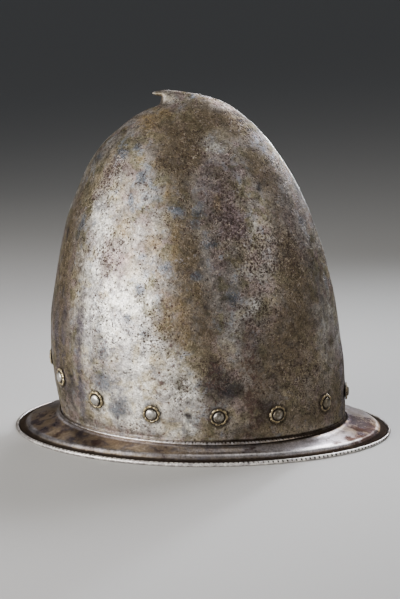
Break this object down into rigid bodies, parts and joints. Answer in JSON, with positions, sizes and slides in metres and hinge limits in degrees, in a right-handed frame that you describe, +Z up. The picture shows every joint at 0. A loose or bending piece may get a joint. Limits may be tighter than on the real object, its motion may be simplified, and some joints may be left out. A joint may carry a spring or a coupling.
{
  "type": "cabasset helmet",
  "caption": "Tall almond-shaped open steel helmet with a backward stalk, a narrow down-turned brim with a roped edge and a ring of lining rivets on brass rosettes.",
  "frame": {"origin": "on the resting plane, under the middle of the brim's length and width", "axes": "+X towards the front of the helmet, +Y towards the wearer's left, +Z up towards the stalk"},
  "size_m": [0.32, 0.233, 0.2869],
  "materials": {
    "aged_steel": "worn, finely pitted steel with brown and blue-grey patina",
    "aged_brass": "aged brass, dark in the recesses",
    "rivet_iron": "worn, dull iron, brighter on the domes"
  },
  "bodies": {
    "root": {"skull": "aged_steel", "rosette_01": "aged_brass", "rosette_02": "aged_brass", "rosette_03": "aged_brass", "rosette_04": "aged_brass", "rosette_05": "aged_brass", "rosette_06": "aged_brass", "rosette_07": "aged_brass", "rosette_08": "aged_brass", "rosette_09": "aged_brass", "rosette_10": "aged_brass", "rosette_11": "aged_brass", "rosette_12": "aged_brass", "rosette_13": "aged_brass", "rosette_14": "aged_brass", "lining_rivet_01": "rivet_iron", "lining_rivet_02": "rivet_iron", "lining_rivet_03": "rivet_iron", "lining_rivet_04": "rivet_iron", "lining_rivet_05": "rivet_iron", "lining_rivet_06": "rivet_iron", "lining_rivet_07": "rivet_iron", "lining_rivet_08": "rivet_iron", "lining_rivet_09": "rivet_iron", "lining_rivet_10": "rivet_iron", "lining_rivet_11": "rivet_iron", "lining_rivet_12": "rivet_iron", "lining_rivet_13": "rivet_iron", "lining_rivet_14": "rivet_iron"}
  },
  "joints": []
}
